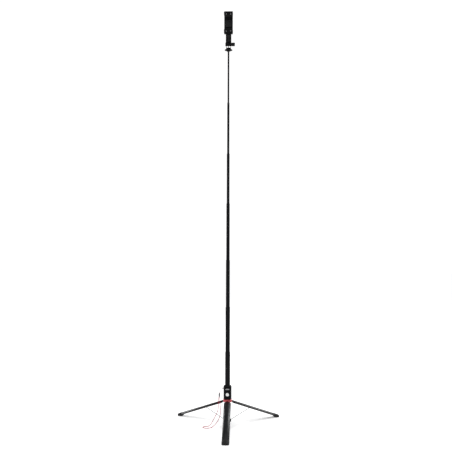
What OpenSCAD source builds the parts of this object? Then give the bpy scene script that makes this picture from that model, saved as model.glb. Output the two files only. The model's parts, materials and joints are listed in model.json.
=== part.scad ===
// Tripod selfie stick: folding legs on a strut linkage, a seven-section pole, a tilting head,
// a sprung phone clamp and a lift-out remote, standing open on the floor.
// Feet stand on z = 0, the front leg points to -Y, and the pole is upright.

/* [Tripod legs] */
// Angle of an open leg from straight down
leg_open = 68; // [62:1:74]
// Length of a leg's centre line from its pivot to the foot's tip
leg_len = 250; // [205:1:300]
// Height of a leg's centre line above the floor at the foot's tip
foot_drop = 5.3; // [5:0.1:6.5]
// Distance of the leg and strut pivots from the pole's surface
pivot_out = 3.2; // [3:0.1:3.6]
// Distance from the pole's surface to the outside of the closed legs
handle_out = 6.85; // [6.6:0.05:8]
// Wall of a leg shell
shell_wall = 2.3; // [1.9:0.1:2.4]
// Arc that one leg shell covers
leg_arc = 116; // [104:1:117]
// Distance from the ring's edge to the top of an open leg's shell
shell_gap = 0.65; // [0.65:0.25:5]
// Length of the rubber foot at the end of a leg
foot_len = 22; // [20:1:30]
// How far the rubber foot stands proud of its shell
foot_proud = 0.35; // [0.2:0.05:0.8]
// Rounding of the foot's ends
foot_edge_r = 3; // [2:0.5:3]
// Corner radius of the foot's toe seen from above
toe_r = 8; // [3:1:12]

/* [Hub] */
// How far the red hub ring stands proud of the closed legs
ring_proud = 0.5; // [0.25:0.05:1.5]
// Height of the hub ring
ring_h = 12; // [11:0.5:18]
// Depth of the ring below the leg pivots
ring_below = 3; // [2:0.5:3]
// Width of a leg's knuckle
knuckle_w = 8; // [6:0.5:9]
// Radius of a leg's knuckle
knuckle_r = 2.8; // [2.2:0.1:2.9]
// Diameter of a leg's hinge pin
pin_d = 2.5; // [1.8:0.1:3]
// Length of a leg's hinge pin
pin_len = 20; // [14:1:21]
// Diameter of the strut wire
strut_d = 2; // [1.4:0.1:2]
// Width of the lug that a strut's bent end turns in
strut_lug_w = 3.2; // [2:0.1:3.4]

/* [Body] */
// Distance from the pole's surface to the outside of the body
body_out = 6.3; // [5.8:0.1:7.6]
// Height of the body that the remote leaves free
body_ends = 9.5; // [9:0.5:30]
// Wall of the body shells
body_wall = 2; // [1.6:0.1:2.4]
// Height of the collar that closes the body's top
collar_h = 3.5; // [3:0.5:6]
// Rim of the flat front on each side of the remote
front_rim = 1.4; // [1.3:0.1:3]
// How far the remote stands proud of the flat front
remote_proud = 1.25; // [0.5:0.05:1.75]

/* [Remote] */
// Width of the remote
remote_w = 23.6; // [22:0.2:23.8]
// Height of the remote
remote_h = 44.5; // [38:0.5:45]
// Depth of the remote's case
remote_d = 8.2; // [8.2:0.1:9.4]
// Corner radius of the remote
remote_corner = 4.5; // [3:0.5:8]
// Diameter of the round shutter button
button_d = 13.6; // [10:0.2:16]
// Height of the button's centre above the remote's lower edge
button_up = 16.6; // [14:0.2:20]
// Travel of the shutter button
button_travel = 0.4; // [0.2:0.1:0.4]
// Width of the plain badge
badge_w = 16; // [10:1:18]
// Height of the plain badge
badge_h = 5; // [3:0.5:7]
// Diameter of the coin cell
cell_d = 16; // [12:0.5:16]

/* [Pole] */
// Outer diameter of the widest section
tube_1_d = 20.8; // [20:0.1:21]
// Difference in outer diameter from one section to the next
tube_step = 2.33; // [2.1:0.01:2.4]
// Wall of every section
tube_wall = 0.6; // [0.4:0.05:0.7]
// Length of the widest section that shows above the body
tube_1_show = 137.5; // [100:0.5:200]
// Length of section 2 that stays inside when drawn out
overlap_2 = 87; // [32:1:120]
// Length of section 3 that stays inside when drawn out
overlap_3 = 76; // [32:1:120]
// Length of section 4 that stays inside when drawn out
overlap_4 = 33; // [32:1:120]
// Length of section 5 that stays inside when drawn out
overlap_5 = 58; // [32:1:120]
// Length of section 6 that stays inside when drawn out
overlap_6 = 50; // [32:1:120]
// Length of section 7 that stays inside when drawn out
overlap_7 = 45; // [32:1:120]
// How much shorter each section is than the one around it
nest_step = 3; // [1:0.5:8]
// How far each pushed-in section still stands out
nest_show = 3; // [2:0.5:6]
// Length of the friction sleeve at a section's lower end
sleeve_len = 12; // [8:1:18]
// Length of the stop ring that meets the rolled lip
stop_len = 8; // [5:1:12]

/* [Head] */
// Radius of the flared cap on the pole
cap_r = 16; // [14:0.5:20]
// Height of the flared cap
cap_h = 11; // [9:0.5:14]
// Height of the tilt axis above the cap
tilt_up = 17; // [15.5:0.5:22]
// Radius of the tilt barrel
barrel_r = 7.2; // [6.5:0.1:7.4]
// Width of the tilt barrel
barrel_w = 26; // [24:0.5:32]
// Distance between the yoke's cheeks
yoke_gap = 16; // [12:0.5:17]
// Thickness of a yoke cheek
cheek_t = 1.6; // [1.2:0.1:2.2]
// Diameter of the tilt bolt
bolt_d = 4; // [3:0.5:5]
// Length of the tilt knob
knob_len = 13; // [10:1:20]
// Width of the arm between the barrel and the clamp
arm_w = 22.5; // [20:0.5:26]
// Depth of the arm
arm_d = 7; // [5:0.5:8]
// Height of the clamp's centre above the tilt axis
clamp_up = 83.75; // [76:0.25:110]

/* [Phone clamp] */
// Width of the clamp
clamp_w = 35; // [32:1:44]
// Height of the closed clamp
clamp_h = 87.5; // [84:0.5:110]
// Depth of the clamp's housing
clamp_d = 8; // [8:0.5:10]
// Height of the lower jaw
lower_jaw_h = 15.5; // [14:0.5:22]
// Height of the upper jaw
upper_jaw_h = 15; // [12:1:18]
// How far the jaws stand out past the housing on each side
jaw_flare = 0.7; // [0:0.1:1.5]
// How far the jaws reach forward of the housing
jaw_reach = 14; // [10:1:18]
// Travel of the upper jaw
jaw_travel = 30; // [20:1:32]
// Thickness of the rubber pads
pad_t = 2; // [1:0.5:3]

/* [Wrist strap] */
// Diameter of the braided strap cord
strap_d = 2.3; // [1.6:0.1:3]
// Diameter of the thin string
string_d = 1; // [0.6:0.1:1.2]
// Diameter of the bead that joins strap and string
bead_d = 6; // [5.6:0.2:8]

/* [Hidden] */
$fn = 64;
front_az = -90;
left_az = 150;
right_az = 30;
// Running fit between parts that turn or slide in each other, and plain gap between moving parts
run_gap = 0.06;
gap = 0.3;
// Overshoot of a cut past the face it opens
cut = 1;

// Legs: the folded spider stops this far above the foot, so link and strut have one length
spider_clear = 16;
tube_1_r = tube_1_d / 2;
pivot_r = tube_1_r + pivot_out;
handle_r = tube_1_r + handle_out;
shell_len = leg_len - foot_len;
link_len = (shell_len - spider_clear) / 2;
pivot_z = leg_len * cos(leg_open) + foot_drop;
spider_z = pivot_z - 2 * link_len * cos(leg_open);
shell_in = handle_r - shell_wall;
spider_r = shell_in + 0.65;
foot_tip_in = 1;
foot_sole_in = 13;
foot_sole_x = -9;
foot_reach = pivot_r + foot_tip_in * cos(leg_open)
  + (leg_len + foot_tip_in - foot_edge_r) * sin(leg_open) + foot_edge_r;
foot_half_w = (handle_r + foot_proud) * sin(leg_arc / 2);
rear_reach = foot_reach * sin(right_az) + foot_half_w * cos(right_az)
  - toe_r * (sin(right_az) + cos(right_az) - 1);
// Puts the middle of the footprint at the origin
axis_y = (foot_reach - rear_reach) / 2;

// Hub and body
ring_r = handle_r + ring_proud;
ring_z = pivot_z - ring_below;
ring_top = ring_z + ring_h;
body_r = tube_1_r + body_out;
body_h = remote_h + body_ends;
front_w = remote_w + 2 * front_rim;
body_top = ring_top + body_h;
shell_end = body_top - collar_h;
body_in = body_r - body_wall;
collar_in = tube_1_r + 1.6;
shell_top = ring_r - pivot_r + shell_gap;
slot_up = knuckle_r + gap;
slot_w = knuckle_w + 2 * gap;
knuckle_pocket_r = pivot_r + knuckle_r + gap;
// The ring's outer wall reaches down over the knuckles to just above the open leg
slot_out_up = (knuckle_r - (knuckle_r + gap) * cos(leg_open)) / sin(leg_open) + gap + 0.05;
bore_r = tube_1_r + run_gap;
// Clear way for the pole through parts that don't guide it
pole_way_r = tube_1_r + 0.55;
pocket_wall_y = pole_way_r;
pocket_y = pocket_wall_y + 1.3;
remote_back_y = pocket_y + gap;
remote_front_y = remote_back_y + remote_d;
front_y = remote_front_y - remote_proud;
front_corner = 4;
remote_z = ring_top + collar_h + 1;
remote_mid_z = remote_z + remote_h / 2;
button_z = remote_z + button_up;
badge_z = remote_z + remote_h - 6;
case_wall = 0.9;
door_r = cell_d / 2 + 1.4;
screw_core_r = 0.8;
screw_seat_y = 6.4;
boss_r = 1.9;
screw_x = pole_way_r + boss_r + 0.15;
bush_h = 8;
// The lower bush reaches this far up into the body
bush_up = 3.5;
screw_z = [ring_top + 10, shell_end - bush_h - boss_r - 0.6];

// Pole: length of each section, height of its top, and its slide
plug_up = 10.5;
tube_1_low = spider_z - 3.5;
tube_1_top = body_top + tube_1_show;
nest_gap = 0.5;
len_2 = tube_1_top - spider_z - plug_up + nest_show - nest_gap;
overlaps = [0, 0, overlap_2, overlap_3, overlap_4, overlap_5, overlap_6, overlap_7];
lip_h = 1.2;
function tube_r(k) = tube_1_r - (k - 1) * tube_step / 2;
function tube_len(k) = k == 1 ? tube_1_top - tube_1_low : len_2 - (k - 2) * nest_step;
function tube_top(k) = k == 1 ? tube_1_top : tube_top(k - 1) + tube_len(k) - overlaps[k];
pole_top = tube_top(7);

// Head
cap_top = pole_top + cap_h;
tilt_z = cap_top + tilt_up;
cheek_out = yoke_gap / 2 + cheek_t;
arm_low = tilt_z + barrel_r + 0.5;
clamp_z = tilt_z + clamp_up;
clamp_low = clamp_z - clamp_h / 2;
clamp_high = clamp_z + clamp_h / 2;
rivet_r = 1.5;
yoke_base_t = 1.4;
swivel_gap = 0.04;
cheek_d = 10.4;
bolt_head_r = bolt_d - 0.2;
bolt_head_h = 2.2;
bolt_head_in = 0.4;
arm_hub_r = 12;
rail_w = 2.7;
web_t = 2;
web_front_y = arm_d / 2 - 0.7 - web_t;
arm_bar_t = 3;
cover_h = 28;
clamp_back_y = -arm_d / 2 - 1.2;
clamp_front_y = clamp_back_y - clamp_d;
jaw_front_y = clamp_front_y - jaw_reach;
// Height of the housing above the clamp's centre
housing_up = 16;
housing_top = clamp_z + housing_up;
// Length of the jaw's tongues that stays in the housing at full travel
tongue_stay = 12;
back_plate_t = 2;
side_wall = 2;
front_wall = 1.6;
pivot_screw_d = 5;
pivot_boss_r = 4.6;
jaw_low_top = clamp_low + lower_jaw_h;
jaw_high_low = clamp_high - upper_jaw_h;
tongue_low = housing_top - jaw_travel - tongue_stay;
tongue_w = 5.5;
tongue_x = clamp_w / 2 - side_wall - gap - tongue_w;
tongue_back_y = clamp_back_y - back_plate_t - gap;
tongue_front_y = clamp_front_y + front_wall + gap;
spring_low = clamp_low + 3;
spring_r = 1.7;
wire_t = 0.6;
jaw_screw_x = 9;
jaw_screw_up = 7.5;
jaw_screw_down = 11;
jaw_screw_bore_r = 1.2;
jaw_screw_head_r = 2.1;

// Strap: hand-laid routes from the pole's axis, the loop ending back in its bead
loop_route = [
  [-35, -12, 118], [-37, -14, 106], [-37, -15, 94], [-37, -17, 82], [-38, -18, 70],
  [-41, -20, 58], [-46, -22, 48], [-51, -23, 38], [-56, -24, 28], [-61, -25, 19],
  [-67, -26, 10], [-74, -27, 4], [-81, -27, 1.4], [-89, -28, 1.4], [-96, -32, 1.4],
  [-99, -39, 1.4], [-96, -46, 1.4], [-89, -50, 1.4], [-80, -51, 1.4], [-71, -48, 1.4],
  [-63, -43, 2.2], [-56, -39, 6], [-50, -36, 11], [-44, -33, 17], [-39, -30, 24],
  [-34, -27, 33], [-30, -24, 43], [-28, -21, 54], [-28, -19, 66], [-29, -17, 79],
  [-30, -15, 92], [-31, -13, 105], [-32, -12, 118]
];
string_route = [
  [-33, -13, 133], [-30, -11, 138], [-27, -8, 143], [-24, -6, 148], [-22, -4.8, 150.4],
  [-20, -4, 151.4], [-19.2, -3, 151.6], [-20, -2, 151], [-22, -1.6, 149.6], [-25, -4, 146],
  [-28, -7, 142], [-31, -9, 138], [-34, -11, 133]
];
bead_at = [-33.5, -12, 118];
bead_h = 15;
eyelet_at = [-body_r - 2.7, -3, body_top - 11];
eyelet_ring_r = 2.6;
eyelet_wire_r = 0.7;

// ---- helpers ----
// Everything is drawn round the pole's axis and moved to its place over the footprint
module on_axis() {
  translate([0, axis_y, 0]) children();
}

// Rectangle with round corners, centred
module round_rect(w, h, r) {
  square([w - 2 * r, h], center = true);
  square([w, h - 2 * r], center = true);
  for (sx = [-1, 1], sy = [-1, 1])
    translate([sx * (w / 2 - r), sy * (h / 2 - r)]) circle(r, $fn = 48);
}

// Slab standing in the XZ plane, centred at height z, from y_back forward by depth
module slab(w, h, r, z, y_back, depth) {
  translate([0, y_back, z]) rotate([90, 0, 0]) linear_extrude(depth) round_rect(w, h, r);
}

module rod_x(r, x0, x1) {
  translate([x0, 0, 0]) rotate([0, 90, 0]) cylinder(r = r, h = x1 - x0);
}

module rod_y(r, y0, y1) {
  translate([0, y1, 0]) rotate([90, 0, 0]) cylinder(r = r, h = y1 - y0);
}

module ring(r_in, r_out, z0, z1) {
  translate([0, 0, z0]) difference() {
    cylinder(r = r_out, h = z1 - z0);
    translate([0, 0, -cut]) cylinder(r = r_in, h = z1 - z0 + 2 * cut);
  }
}

// A leg's own frame: pivot at the origin, shell hanging along -Z, outer side to +X
module place_leg(azimuth) {
  on_axis() rotate([0, 0, azimuth]) translate([pivot_r, 0, pivot_z])
    rotate([0, -leg_open, 0]) children();
}

module arc_wall(r_in, r_out, s0, s1, arc) {
  translate([-pivot_r, 0, -s1]) rotate([0, 0, -arc / 2])
    rotate_extrude(angle = arc, $fn = 96) translate([r_in, 0]) square([r_out - r_in, s1 - s0]);
}

// Points along a smooth curve through a route, two to each stretch
function mid_point(p, i) = (9 * (p[i] + p[i + 1]) - p[max(i - 1, 0)] - p[min(i + 2, len(p) - 1)]) / 16;
function smooth_route(p) = [for (i = [0:len(p) - 2]) each [p[i], mid_point(p, i)], p[len(p) - 1]];
function unit(v) = v / norm(v);
function heading(p, i) = unit(p[min(i + 1, len(p) - 1)] - p[max(i - 1, 0)]);
// A side direction that turns no more than the route makes it
function side_of(p, i, last) = unit(last - (last * heading(p, i)) * heading(p, i));
function sides(p, i = 0, last = [0.3, 1, 0.1]) =
  i == len(p) ? [] : let (s = side_of(p, i, last)) concat([s], sides(p, i + 1, s));

// Cord of diameter d swept along the points p
module cord(p, d) {
  n = 8;
  side = sides(p);
  points = [
    for (i = [0:len(p) - 1], k = [0:n - 1])
      let (up = cross(heading(p, i), side[i]))
      p[i] + d / 2 * (cos(360 * k / n) * side[i] + sin(360 * k / n) * up)
  ];
  last = (len(p) - 1) * n;
  walls = [
    for (i = [0:len(p) - 2], k = [0:n - 1])
      [i * n + k, i * n + (k + 1) % n, (i + 1) * n + (k + 1) % n, (i + 1) * n + k]
  ];
  ends = [[for (k = [n - 1:-1:0]) k], [for (k = [0:n - 1]) last + k]];
  polyhedron(points = points, faces = [for (f = concat(walls, ends)) [for (k = [len(f) - 1:-1:0]) f[k]]]);
}

// ---- hub and body ----
// Red ring with a slot for each leg's knuckle and a seat for the lower bush
module hub_ring() {
  color([0.75, 0.13, 0.2]) on_axis() difference() {
    translate([0, 0, ring_z]) rotate_extrude($fn = 96) polygon([
      [pole_way_r, 0], [ring_r - 0.6, 0], [ring_r, 0.6], [ring_r, ring_h - 0.6],
      [ring_r - 0.6, ring_h], [pole_way_r, ring_h]
    ]);
    translate([0, 0, pivot_z + slot_up + cut]) cylinder(r = body_in, h = ring_h);
    for (a = [front_az, left_az, right_az]) rotate([0, 0, a]) {
      translate([0, -slot_w / 2, ring_z - cut]) cube([knuckle_pocket_r, slot_w, ring_below + slot_up + cut]);
      translate([0, -slot_w / 2, ring_z - cut]) cube([2 * ring_r, slot_w, ring_below + slot_out_up + cut]);
      translate([pivot_r, 0, pivot_z]) rod_y(pin_d / 2, -ring_r, ring_r);
    }
  }
}

module leg_pins() {
  color("silver") on_axis() for (a = [front_az, left_az, right_az])
    rotate([0, 0, a]) translate([pivot_r, 0, pivot_z]) rod_y(pin_d / 2, -pin_len / 2, pin_len / 2);
}

// Two bushes that guide the widest section: one on the ring, one in the body's top
module guide_bushes() {
  color("dimgray") on_axis() {
    ring(bore_r, body_in, pivot_z + slot_up + cut, ring_top + bush_up);
    difference() {
      ring(bore_r, body_in, shell_end - bush_h, shell_end);
      translate([-body_r, -body_r - pocket_wall_y, shell_end - bush_h - cut])
        cube([2 * body_r, body_r, bush_h + 2 * cut]);
    }
    ring(bore_r, collar_in, shell_end, body_top + 0.6);
  }
}

module body_outline(r = body_r) {
  circle(r, $fn = 96);
  translate([0, -front_y / 2]) round_rect(front_w, front_y, front_corner);
}

// Everything in front of (-1) or behind (1) the split through the pole's axis
module half_space(side) {
  wide = 4 * body_r;
  translate([-wide / 2, side > 0 ? 0 : -wide, ring_top - cut]) cube([wide, wide, body_h + 2 * cut]);
}

module screw_bosses() {
  for (x = [-screw_x, screw_x], z = screw_z) translate([x, 0, z]) rod_y(boss_r, -9, 9);
}

// Front half of the body, with the pocket that the remote sits in
module body_front_shell() {
  color([0.07, 0.07, 0.08]) on_axis() difference() {
    intersection() {
      half_space(-1);
      union() {
        difference() {
          translate([0, 0, ring_top]) linear_extrude(shell_end - ring_top) body_outline();
          difference() {
            translate([0, 0, ring_top - cut]) cylinder(r = body_in, h = body_h + 2 * cut);
            translate([-body_r, -body_r - pocket_wall_y, ring_top + bush_up])
              cube([2 * body_r, body_r, body_h]);
          }
        }
        screw_bosses();
      }
    }
    slab(remote_w + 2 * gap, remote_h + 2 * gap, remote_corner + gap, remote_mid_z, -pocket_y, front_y);
    for (x = [-screw_x, screw_x], z = screw_z) translate([x, 0, z]) rod_y(screw_core_r, -7, cut);
    translate([0, 0, ring_top - cut]) cylinder(r = pole_way_r, h = body_h + 2 * cut);
  }
}

module body_rear_shell() {
  color([0.07, 0.07, 0.08]) on_axis() difference() {
    intersection() {
      half_space(1);
      union() {
        ring(body_in, body_r, ring_top, shell_end);
        intersection() {
          screw_bosses();
          translate([0, 0, ring_top]) cylinder(r = body_r, h = body_h);
        }
      }
    }
    for (x = [-screw_x, screw_x], z = screw_z) translate([x, 0, z]) {
      rod_y(1.1, -cut, body_r);
      rod_y(boss_r, screw_seat_y, body_r);
    }
  }
}

// Collar with a rounded shoulder that holds the two shells together at the top
module body_top_collar() {
  shoulder = 2.6;
  color([0.07, 0.07, 0.08]) on_axis() difference() {
    union() {
      translate([0, 0, shell_end]) rotate_extrude($fn = 96) difference() {
        square([body_r, collar_h]);
        translate([body_r - shoulder, collar_h - shoulder]) difference() {
          square(shoulder + cut);
          circle(shoulder);
        }
      }
      translate([0, -front_y / 2, shell_end]) linear_extrude(collar_h - 1.6)
        round_rect(front_w, front_y, front_corner);
    }
    translate([0, 0, shell_end - cut]) cylinder(r = collar_in, h = collar_h + 2 * cut);
  }
}

module body_screws() {
  color("silver") on_axis() for (x = [-screw_x, screw_x], z = screw_z)
    translate([x, 0, z]) difference() {
      union() {
        rod_y(screw_core_r, -6.5, screw_seat_y);
        rod_y(1.7, screw_seat_y, screw_seat_y + 1.2);
      }
      for (turn = [0, 90]) rotate([0, turn, 0])
        translate([-0.9, screw_seat_y + 0.7, -0.2]) cube([1.8, cut, 0.4]);
    }
}

// Small ring on the body's left side that the string is looped through
module strap_eyelet() {
  color("dimgray") on_axis() translate(eyelet_at) difference() {
    union() {
      rotate([90, 0, 0]) rotate_extrude() translate([eyelet_ring_r, 0]) circle(eyelet_wire_r, $fn = 24);
      rod_x(1.2, eyelet_ring_r - 0.3, eyelet_ring_r + 1.6);
    }
    translate([-eyelet_at[0], -eyelet_at[1], -5]) cylinder(r = body_r, h = 10);
  }
}

module strap_string() {
  color("lightgray") on_axis() cord(string_route, string_d);
}

module strap_bead() {
  color([0.12, 0.12, 0.13]) on_axis() translate(bead_at) rotate_extrude() difference() {
    square([bead_d / 2, bead_h]);
    translate([bead_d / 2 - 1, bead_h - 1]) difference() {
      square(2);
      circle(1);
    }
    translate([bead_d / 2 - 1, -1]) difference() {
      square(2);
      translate([0, 2]) circle(1);
    }
  }
}

module strap_loop() {
  color([0.5, 0.12, 0.2]) on_axis() cord(smooth_route(loop_route), strap_d);
}

// ---- legs ----
// Arc shell with a hinge knuckle at its top and a lug inside for the strut's bent end
module leg(azimuth) {
  arm_len = shell_top + 10;
  lug_r = 2.1;
  color([0.09, 0.09, 0.1]) place_leg(azimuth) difference() {
    union() {
      arc_wall(shell_in, handle_r, shell_top, shell_len, leg_arc);
      rod_y(knuckle_r, -knuckle_w / 2, knuckle_w / 2);
      translate([-knuckle_r, -knuckle_w / 2, -arm_len]) cube([2 * knuckle_r, knuckle_w, arm_len]);
      translate([-lug_r, strut_d / 2 + 0.5, -link_len - lug_r])
        cube([shell_in - pivot_r + lug_r - 0.4, strut_lug_w, 2 * lug_r]);
    }
    rod_y(pin_d / 2 + run_gap, -knuckle_w, knuckle_w);
    translate([0, 0, -link_len]) rod_y(strut_d / 2 + run_gap, 0, strut_d / 2 + strut_lug_w + 1);
    // room for the folded spider's lugs
    arc_wall(shell_in - cut, spider_r + 0.4, 2 * link_len - 5.5, 2 * link_len + 8, 44);
  }
}

// Outline of the foot seen from above, with a round-cornered toe, a little wider than the foot
module toe_outline() {
  clear = 0.4;
  half_w = foot_half_w + clear;
  toe_end = -leg_len - foot_tip_in - clear;
  polygon([
    [half_w, -shell_len + 5], [-half_w, -shell_len + 5],
    for (a = [180:6:270]) [toe_r - half_w + toe_r * cos(a), toe_end + toe_r + toe_r * sin(a)],
    for (a = [270:6:360]) [half_w - toe_r + toe_r * cos(a), toe_end + toe_r + toe_r * sin(a)]
  ]);
}

// Rubber foot: fills the shell's end, with its sole level when the leg is open
module foot(azimuth) {
  sole_s = leg_len - foot_sole_in;
  toe_s = leg_len + foot_tip_in - foot_edge_r;
  toe_in_x = -3.2;
  shoulder_x = -1.5;
  tab_in = 7;
  color([0.05, 0.05, 0.05]) place_leg(azimuth) difference() {
    union() {
      intersection() {
        arc_wall(2, handle_r + foot_proud, shell_len, leg_len + 5, leg_arc);
        rotate([90, 0, 90]) translate([0, 0, -handle_r]) linear_extrude(2 * handle_r) toe_outline();
        hull() {
          for (p = [
            [handle_r - pivot_r + foot_proud - foot_edge_r + 0.5, toe_s],
            [toe_in_x, toe_s],
            [foot_sole_x, sole_s]
          ]) translate([p[0], 0, -p[1]]) rotate([90, 0, 0])
            cylinder(r = foot_edge_r, h = 2 * handle_r, center = true, $fn = 32);
          translate([shoulder_x, -handle_r, -shell_len])
            cube([handle_r - pivot_r + foot_proud + 0.65 - shoulder_x, 2 * handle_r, 1]);
        }
      }
      intersection() {
        arc_wall(shell_in - 2, shell_in, shell_len - tab_in, shell_len + 1, 64);
        translate([-20, -20, -leg_len]) cube([40, 40, leg_len]);
      }
    }
    rotate([0, leg_open, 0]) translate([-leg_len, -handle_r - cut, -pivot_z - 40])
      cube([3 * leg_len, 2 * handle_r + 2 * cut, 40]);
  }
}

// Steel wire strut, both ends bent square to turn in the leg's lug and the spider's lug
module strut(azimuth) {
  wire_r = strut_d / 2;
  bend_len = wire_r + 0.5 + strut_lug_w;
  color("silver") place_leg(azimuth) translate([0, 0, -link_len]) rotate([0, 2 * leg_open - 180, 0])
    union() {
      // along +Z here: from the leg's lug to the spider
      cylinder(r = wire_r, h = link_len, $fn = 32);
      for (s = [0, link_len]) translate([0, 0, s]) {
        sphere(r = wire_r, $fn = 32);
        rod_y(wire_r, 0, bend_len);
      }
    }
}

// ---- pole ----
// Plug in the widest section's lower end, with a lug for each strut
module spider() {
  lug_half = strut_d / 2 + 0.5 + strut_lug_w;
  lug_low = -6.5;
  flange_r = tube_1_r + 2.4;
  lug_high = 3.3;
  color([0.1, 0.1, 0.1]) on_axis() translate([0, 0, spider_z]) {
    difference() {
      rotate_extrude() polygon([
        [5, -6], [flange_r, -6], [flange_r, -3.5], [tube_1_r - tube_wall, -3.5],
        [tube_1_r - tube_wall, plug_up], [0, plug_up], [0, plug_up - 2.5], [5, plug_up - 2.5]
      ]);
      spider_lugs(lug_half, lug_low - cut, lug_high);
    }
    difference() {
      spider_lugs(lug_half, lug_low, lug_high);
      for (a = [front_az, left_az, right_az]) rotate([0, 0, a]) {
        translate([pivot_r - strut_d / 2 - gap, -strut_d / 2 - 0.4, -strut_d / 2 - 0.4])
          cube([8, strut_d + 0.8, 8]);
        translate([pivot_r, 0, 0]) rod_y(strut_d / 2 + run_gap, -strut_d, lug_half + cut);
      }
    }
  }
}

module spider_lugs(half, low, high) {
  for (a = [front_az, left_az, right_az]) rotate([0, 0, a]) intersection() {
    translate([0, 0, low]) cylinder(r = spider_r, h = high - low);
    translate([tube_1_r + 0.1, -half, low]) cube([8, 2 * half, high - low]);
  }
}

// One section of the pole, with its top edge rolled in to guide and stop the next
module tube(k) {
  r = tube_r(k);
  lip_in = k == 7 ? r - tube_wall : tube_r(k + 1) + run_gap;
  top = tube_top(k) + (k == 7 ? cap_h - 3 : 0);
  low = tube_top(k) - tube_len(k);
  color([0.1, 0.1, 0.11]) on_axis() translate([0, 0, low]) rotate_extrude() polygon([
    [r - tube_wall, 0], [r, 0], [r, top - low - 0.4], [r - 0.4, top - low],
    [lip_in, top - low], [lip_in, top - low - lip_h], [r - tube_wall, top - low - lip_h]
  ]);
}

// Plastic friction sleeve at a section's lower end, and the ring that stops it at the lip
module sleeve(k) {
  low = tube_top(k) - tube_len(k);
  stop_top = tube_top(k - 1) - lip_h - 0.1;
  color("gainsboro") on_axis() {
    ring(tube_r(k), tube_r(k - 1) - tube_wall - run_gap, low, low + sleeve_len);
    ring(tube_r(k), tube_r(k - 1) - tube_wall - run_gap, stop_top - stop_len, stop_top);
  }
}

// ---- head ----
// Flared cap on the thinnest section; it covers the nested sections when they are pushed in
module pole_cap() {
  skirt = 2.4;
  flange_z = cap_h - 7.5;
  socket_r = tube_r(7) + 1.8;
  socket_low = nest_gap - nest_show;
  socket_top = cap_h - 3;
  color([0.08, 0.08, 0.09]) on_axis() translate([0, 0, pole_top]) difference() {
    rotate_extrude($fn = 96) polygon([
      [0, socket_low], [socket_r, socket_low], [socket_r, cap_h - 4.5], [socket_r + 2, cap_h - 4],
      [cap_r - skirt, flange_z], [cap_r - 0.5, flange_z], [cap_r, flange_z + 0.6], [cap_r, flange_z + 1.6],
      [cap_r - 1.6, flange_z + 3.2], [cap_r - 5, flange_z + 5], [9.6, cap_h - 0.8], [8, cap_h], [0, cap_h]
    ]);
    translate([0, 0, socket_low - cut]) cylinder(r = tube_r(7), h = socket_top - socket_low + cut);
    translate([0, 0, socket_top - cut]) cylinder(r = rivet_r, h = 5);
  }
}

// Rivet that the yoke swivels on; its thin end stands up under the barrel
module swivel_rivet() {
  head_up = yoke_base_t + 0.1;
  pin_top = tilt_up - barrel_r - 0.5;
  color("silver") on_axis() translate([0, 0, cap_top]) {
    translate([0, 0, -3]) cylinder(r = rivet_r, h = 3 + head_up);
    translate([0, 0, head_up]) cylinder(r = 3.4, h = 1.1);
    translate([0, 0, head_up]) cylinder(r = 1.2, h = pin_top - head_up);
  }
}

// Yoke: a turning base with two cheeks that carry the tilt barrel
module yoke() {
  color([0.09, 0.09, 0.1]) on_axis() translate([0, 0, cap_top]) difference() {
    union() {
      intersection() {
        translate([0, 0, swivel_gap]) cylinder(r = cheek_out + 1, h = yoke_base_t - swivel_gap);
        translate([-cheek_out, -20, 0]) cube([2 * cheek_out, 40, 5]);
      }
      for (side = [-1, 1]) translate([side * (yoke_gap / 2 + cheek_t / 2), 0, 0]) {
        translate([-cheek_t / 2, -cheek_d / 2, swivel_gap]) cube([cheek_t, cheek_d, tilt_up]);
        translate([-cheek_t / 2, 0, tilt_up]) rod_x(barrel_r, 0, cheek_t);
      }
      // left end cap of the barrel, over the bolt's head
      translate([0, 0, tilt_up]) rod_x(barrel_r, -barrel_w / 2, -yoke_gap / 2);
    }
    translate([0, 0, -cut]) cylinder(r = rivet_r + run_gap, h = yoke_base_t + 2 * cut);
    translate([0, 0, tilt_up]) {
      rod_x(bolt_d / 2, -barrel_w / 2 - cut, barrel_w / 2);
      translate([-barrel_w / 2 - cut, 0, 0]) rotate([0, 90, 0])
        cylinder(r = bolt_head_r, h = bolt_head_in + bolt_head_h + cut, $fn = 6);
    }
  }
}

module tilt_bolt() {
  color("silver") on_axis() translate([0, 0, tilt_z]) {
    rod_x(bolt_d / 2, -barrel_w / 2 + bolt_head_in + cut, barrel_w / 2 + knob_len - 3);
    translate([-barrel_w / 2 + bolt_head_in, 0, 0]) rotate([0, 90, 0])
      cylinder(r = bolt_head_r, h = bolt_head_h, $fn = 6);
  }
}

// Lock knob: a plain collar against the cheek and a ribbed grip
module tilt_knob() {
  ribs = 18;
  grip_r = barrel_r - 0.6;
  color([0.08, 0.08, 0.08]) on_axis() translate([0, 0, tilt_z]) difference() {
    union() {
      rod_x(barrel_r, cheek_out + 0.05, barrel_w / 2 + 0.8);
      rod_x(grip_r, barrel_w / 2, barrel_w / 2 + knob_len);
      for (k = [0:ribs - 1]) rotate([360 * k / ribs, 0, 0])
        translate([0, 0, grip_r]) rod_x(0.6, barrel_w / 2 + 2, barrel_w / 2 + knob_len - 1);
    }
    rod_x(bolt_d / 2 + run_gap, 0, barrel_w / 2 + knob_len - 2);
    rod_x(grip_r - 2, barrel_w / 2 + knob_len - 1.2, barrel_w / 2 + knob_len + cut);
  }
}

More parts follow.
